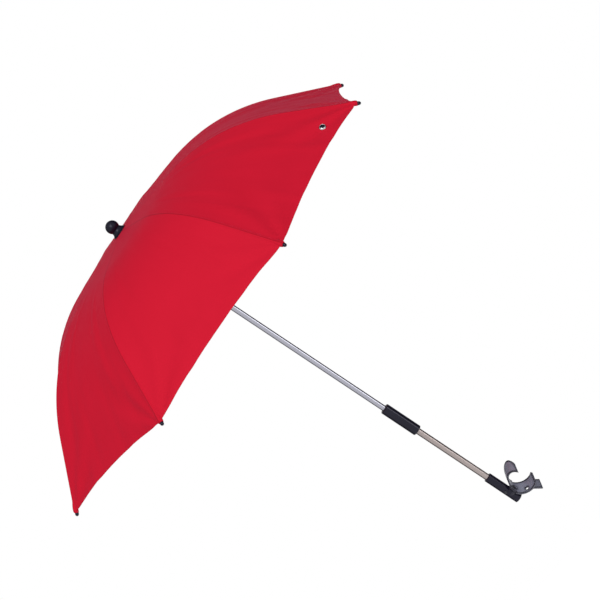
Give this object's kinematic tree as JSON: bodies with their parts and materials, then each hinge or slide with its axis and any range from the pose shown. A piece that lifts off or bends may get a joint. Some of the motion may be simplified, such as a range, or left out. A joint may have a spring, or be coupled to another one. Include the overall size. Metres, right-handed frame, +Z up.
{
  "type": "pram parasol",
  "caption": "Small parasol for a pram: a scalloped cloth canopy on folding steel ribs, a two-part shaft with a lockable tilt joint, and a spring clip for a tube.",
  "frame": {"origin": "centre of the clip's bore, where the pram's tube lies", "axes": "+Z up along the straight shaft, +X out of the clip's mouth"},
  "size_m": [0.697, 0.697, 0.6838],
  "materials": {
    "canopy_cloth": "taut woven red cloth with a slight sheen",
    "frame_steel": "bright zinc-plated strip",
    "tube_steel": "bright drawn tube",
    "black_plastic": "smooth black moulding",
    "frame_plastic": "plain black moulding",
    "clip_plastic": "dark grey satin moulding",
    "bright_metal": "bright plated"
  },
  "bodies": {
    "clip": {"clamp_clip": "clip_plastic"},
    "lower_shaft": {"clamp_socket": "black_plastic", "swivel_screw": "bright_metal", "socket_rivet": "bright_metal", "lower_tube": "tube_steel", "hinge_fork": "frame_plastic", "hinge_pin": "bright_metal"},
    "lock_sleeve": {"joint_sleeve": "black_plastic"},
    "upper_shaft": {"upper_tube": "tube_steel", "hinge_tongue": "frame_plastic", "catch_spring": "frame_steel", "crown": "frame_plastic", "crown_wire": "frame_steel", "canopy_rosette": "canopy_cloth", "top_cap": "black_plastic"},
    "runner": {"runner": "frame_plastic"},
    "rib_body_1": {"rib_1": "frame_steel", "rib_tip_1": "black_plastic", "rib_rivet_1": "frame_steel", "canopy_panel_1": "canopy_cloth", "press_stud": "bright_metal"},
    "stretcher_body_1": {"stretcher_1": "frame_steel"},
    "rib_body_2": {"rib_2": "frame_steel", "rib_tip_2": "black_plastic", "rib_rivet_2": "frame_steel", "canopy_panel_2": "canopy_cloth"},
    "stretcher_body_2": {"stretcher_2": "frame_steel"},
    "rib_body_3": {"rib_3": "frame_steel", "rib_tip_3": "black_plastic", "rib_rivet_3": "frame_steel", "canopy_panel_3": "canopy_cloth"},
    "stretcher_body_3": {"stretcher_3": "frame_steel"},
    "rib_body_4": {"rib_4": "frame_steel", "rib_tip_4": "black_plastic", "rib_rivet_4": "frame_steel", "canopy_panel_4": "canopy_cloth"},
    "stretcher_body_4": {"stretcher_4": "frame_steel"},
    "rib_body_5": {"rib_5": "frame_steel", "rib_tip_5": "black_plastic", "rib_rivet_5": "frame_steel", "canopy_panel_5": "canopy_cloth"},
    "stretcher_body_5": {"stretcher_5": "frame_steel"},
    "rib_body_6": {"rib_6": "frame_steel", "rib_tip_6": "black_plastic", "rib_rivet_6": "frame_steel", "canopy_panel_6": "canopy_cloth"},
    "stretcher_body_6": {"stretcher_6": "frame_steel"},
    "rib_body_7": {"rib_7": "frame_steel", "rib_tip_7": "black_plastic", "rib_rivet_7": "frame_steel", "canopy_panel_7": "canopy_cloth"},
    "stretcher_body_7": {"stretcher_7": "frame_steel"},
    "rib_body_8": {"rib_8": "frame_steel", "rib_tip_8": "black_plastic", "rib_rivet_8": "frame_steel", "canopy_panel_8": "canopy_cloth"},
    "stretcher_body_8": {"stretcher_8": "frame_steel"}
  },
  "joints": [
    {"name": "clamp_swivel", "type": "hinge", "parent": "clip", "child": "lower_shaft", "pos_m": [0, 0, 0], "axis": [1, 0, 0], "range_deg": [-63, 117]},
    {"name": "shaft_tilt", "type": "hinge", "parent": "lower_shaft", "child": "upper_shaft", "pos_m": [-0.0258, 0, 0.194], "axis": [0, -1, 0], "range_deg": [0, 90]},
    {"name": "sleeve_slide", "type": "slide", "parent": "lower_shaft", "child": "lock_sleeve", "axis": [0, 0, -1], "range_m": [0, 0.07201]},
    {"name": "runner_slide", "type": "slide", "parent": "upper_shaft", "child": "runner", "axis": [0, 0, -1], "range_m": [0, 0.2086], "deforming": ["catch_spring"]},
    {"name": "rib_hinge_1", "type": "hinge", "parent": "upper_shaft", "child": "rib_body_1", "pos_m": [-0.0168, 0, 0.6254], "axis": [0, 1, 0], "range_deg": [0, 64.53], "deforming": ["canopy_panel_1"]},
    {"name": "stretcher_hinge_1", "type": "hinge", "parent": "rib_body_1", "child": "stretcher_body_1", "pos_m": [0.13824, 0, 0.61159], "axis": [0, -1, 0], "range_deg": [0, 104.69]},
    {"name": "rib_hinge_2", "type": "hinge", "parent": "upper_shaft", "child": "rib_body_2", "pos_m": [-0.01944, 0.00636, 0.6254], "axis": [-0.7071, 0.7071, 0], "range_deg": [0, 64.53], "deforming": ["canopy_panel_2"]},
    {"name": "stretcher_hinge_2", "type": "hinge", "parent": "rib_body_2", "child": "stretcher_body_2", "pos_m": [0.09019, 0.11599, 0.61159], "axis": [0.7071, -0.7071, 0], "range_deg": [0, 104.69]},
    {"name": "rib_hinge_3", "type": "hinge", "parent": "upper_shaft", "child": "rib_body_3", "pos_m": [-0.0258, 0.009, 0.6254], "axis": [-1, 0, 0], "range_deg": [0, 64.53], "deforming": ["canopy_panel_3"]},
    {"name": "stretcher_hinge_3", "type": "hinge", "parent": "rib_body_3", "child": "stretcher_body_3", "pos_m": [-0.0258, 0.16404, 0.61159], "axis": [1, 0, 0], "range_deg": [0, 104.69]},
    {"name": "rib_hinge_4", "type": "hinge", "parent": "upper_shaft", "child": "rib_body_4", "pos_m": [-0.03216, 0.00636, 0.6254], "axis": [-0.7071, -0.7071, 0], "range_deg": [0, 64.53], "deforming": ["canopy_panel_4"]},
    {"name": "stretcher_hinge_4", "type": "hinge", "parent": "rib_body_4", "child": "stretcher_body_4", "pos_m": [-0.14179, 0.11599, 0.61159], "axis": [0.7071, 0.7071, 0], "range_deg": [0, 104.69]},
    {"name": "rib_hinge_5", "type": "hinge", "parent": "upper_shaft", "child": "rib_body_5", "pos_m": [-0.0348, 0, 0.6254], "axis": [0, -1, 0], "range_deg": [0, 64.53], "deforming": ["canopy_panel_5"]},
    {"name": "stretcher_hinge_5", "type": "hinge", "parent": "rib_body_5", "child": "stretcher_body_5", "pos_m": [-0.18984, 0, 0.61159], "axis": [0, 1, 0], "range_deg": [0, 104.69]},
    {"name": "rib_hinge_6", "type": "hinge", "parent": "upper_shaft", "child": "rib_body_6", "pos_m": [-0.03216, -0.00636, 0.6254], "axis": [0.7071, -0.7071, 0], "range_deg": [0, 64.53], "deforming": ["canopy_panel_6"]},
    {"name": "stretcher_hinge_6", "type": "hinge", "parent": "rib_body_6", "child": "stretcher_body_6", "pos_m": [-0.14179, -0.11599, 0.61159], "axis": [-0.7071, 0.7071, 0], "range_deg": [0, 104.69]},
    {"name": "rib_hinge_7", "type": "hinge", "parent": "upper_shaft", "child": "rib_body_7", "pos_m": [-0.0258, -0.009, 0.6254], "axis": [1, 0, 0], "range_deg": [0, 64.53], "deforming": ["canopy_panel_7"]},
    {"name": "stretcher_hinge_7", "type": "hinge", "parent": "rib_body_7", "child": "stretcher_body_7", "pos_m": [-0.0258, -0.16404, 0.61159], "axis": [-1, 0, 0], "range_deg": [0, 104.69]},
    {"name": "rib_hinge_8", "type": "hinge", "parent": "upper_shaft", "child": "rib_body_8", "pos_m": [-0.01944, -0.00636, 0.6254], "axis": [0.7071, 0.7071, 0], "range_deg": [0, 64.53], "deforming": ["canopy_panel_8"]},
    {"name": "stretcher_hinge_8", "type": "hinge", "parent": "rib_body_8", "child": "stretcher_body_8", "pos_m": [0.09019, -0.11599, 0.61159], "axis": [-0.7071, -0.7071, 0], "range_deg": [0, 104.69]}
  ],
  "couplings": [
    {"joint": "sleeve_slide", "follows": "shaft_tilt", "m_per_rad": 0.045837},
    {"joint": "rib_hinge_1", "follows": "runner_slide", "rad_per_m": 5.398},
    {"joint": "stretcher_hinge_1", "follows": "runner_slide", "rad_per_m": 8.7588},
    {"joint": "rib_hinge_2", "follows": "runner_slide", "rad_per_m": 5.398},
    {"joint": "stretcher_hinge_2", "follows": "runner_slide", "rad_per_m": 8.7588},
    {"joint": "rib_hinge_3", "follows": "runner_slide", "rad_per_m": 5.398},
    {"joint": "stretcher_hinge_3", "follows": "runner_slide", "rad_per_m": 8.7588},
    {"joint": "rib_hinge_4", "follows": "runner_slide", "rad_per_m": 5.398},
    {"joint": "stretcher_hinge_4", "follows": "runner_slide", "rad_per_m": 8.7588},
    {"joint": "rib_hinge_5", "follows": "runner_slide", "rad_per_m": 5.398},
    {"joint": "stretcher_hinge_5", "follows": "runner_slide", "rad_per_m": 8.7588},
    {"joint": "rib_hinge_6", "follows": "runner_slide", "rad_per_m": 5.398},
    {"joint": "stretcher_hinge_6", "follows": "runner_slide", "rad_per_m": 8.7588},
    {"joint": "rib_hinge_7", "follows": "runner_slide", "rad_per_m": 5.398},
    {"joint": "stretcher_hinge_7", "follows": "runner_slide", "rad_per_m": 8.7588},
    {"joint": "rib_hinge_8", "follows": "runner_slide", "rad_per_m": 5.398},
    {"joint": "stretcher_hinge_8", "follows": "runner_slide", "rad_per_m": 8.7588}
  ]
}
